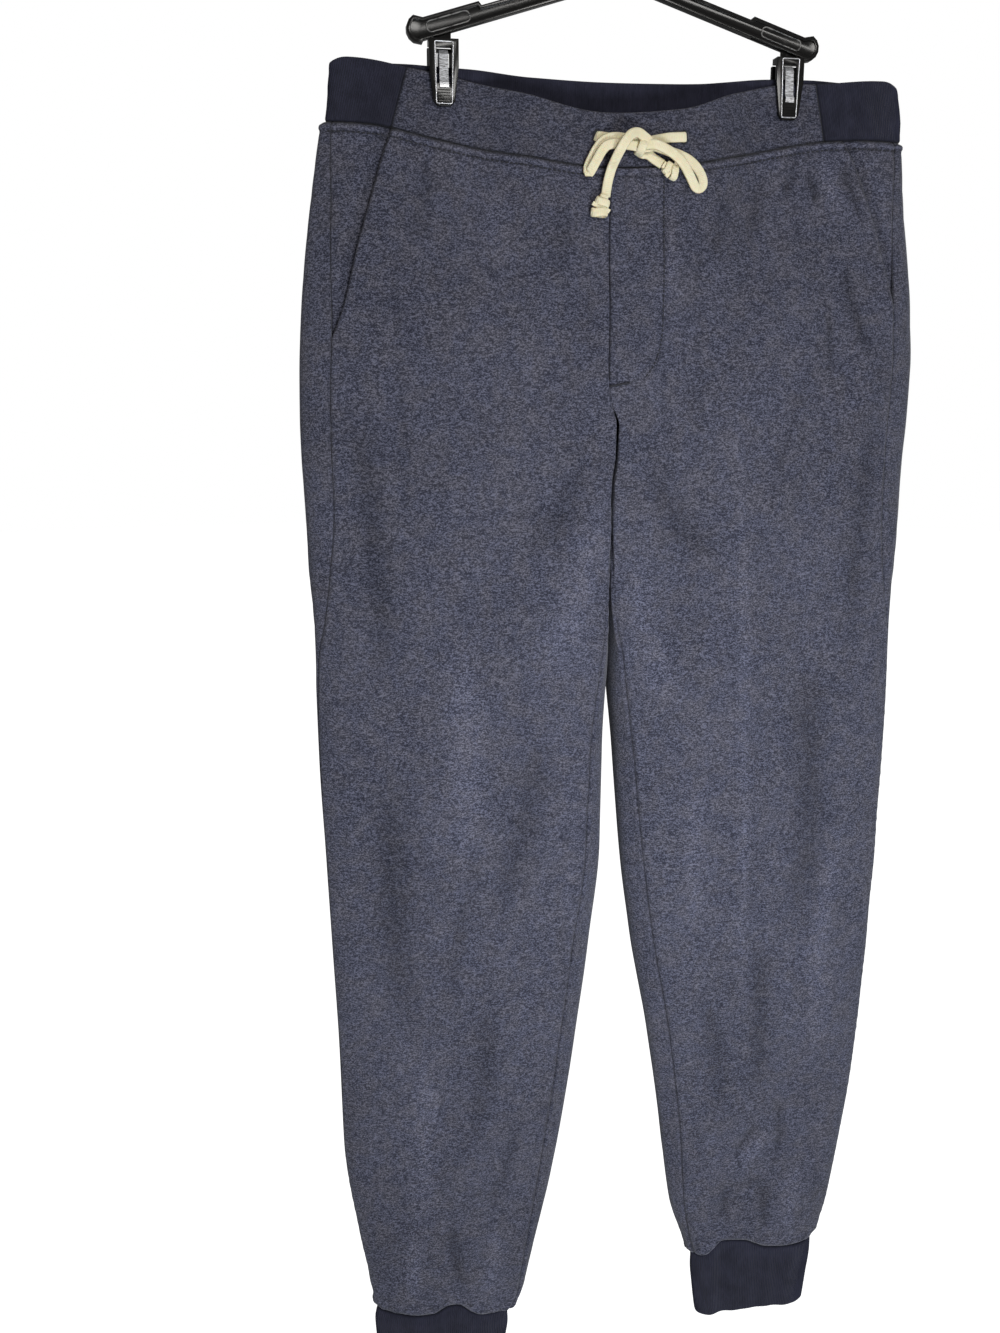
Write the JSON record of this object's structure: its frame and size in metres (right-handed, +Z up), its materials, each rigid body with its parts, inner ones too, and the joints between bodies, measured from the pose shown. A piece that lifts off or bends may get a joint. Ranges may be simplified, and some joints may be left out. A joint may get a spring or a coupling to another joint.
{
  "type": "jogger sweatpants on a clip hanger",
  "caption": "Jogger sweatpants with a ribbed waistband, drawstring bow, mock fly, slant pockets and ribbed cuffs, hung by the waist from a clip hanger.",
  "frame": {"origin": "inner top of the hanger's hook, where it rests on a rail", "axes": "+Z up along the hanging legs, -Y out of the front of the trousers, +X towards the wearer's left"},
  "size_m": [0.4513, 0.06, 1.1563],
  "materials": {
    "heather_fleece": "brushed heather fleece knit, matte, finely flecked blue and grey",
    "navy_rib": "fine one-by-one rib knit, matte navy",
    "cream_cord": "flat braided cotton cord, matte cream",
    "black_plastic": "moulded black plastic, satin",
    "spring_steel": "bright spring steel strip",
    "hook_wire": "bright plated wire"
  },
  "bodies": {
    "root": {"front_leg_left": "heather_fleece", "front_leg_right": "heather_fleece", "back_leg_left": "heather_fleece", "back_leg_right": "heather_fleece", "pocket_facing_left": "heather_fleece", "pocket_facing_right": "heather_fleece", "fly_placket": "heather_fleece", "waistband_front": "heather_fleece", "waistband_rib": "navy_rib", "cuff_left": "navy_rib", "cuff_right": "navy_rib", "drawstring_knot": "cream_cord", "drawstring_lead_left": "cream_cord", "drawstring_lead_right": "cream_cord", "drawstring_loop_left": "cream_cord", "drawstring_loop_right": "cream_cord", "drawstring_tail_left": "cream_cord", "drawstring_tail_right": "cream_cord", "drawstring_end_knot_left": "cream_cord", "drawstring_end_knot_right": "cream_cord", "hanger_body": "black_plastic", "hanger_hook": "hook_wire", "clip_front_left": "black_plastic", "clip_front_right": "black_plastic", "clip_back_left": "black_plastic", "clip_back_right": "black_plastic", "clip_spring_left": "spring_steel", "clip_spring_right": "spring_steel"}
  },
  "joints": []
}
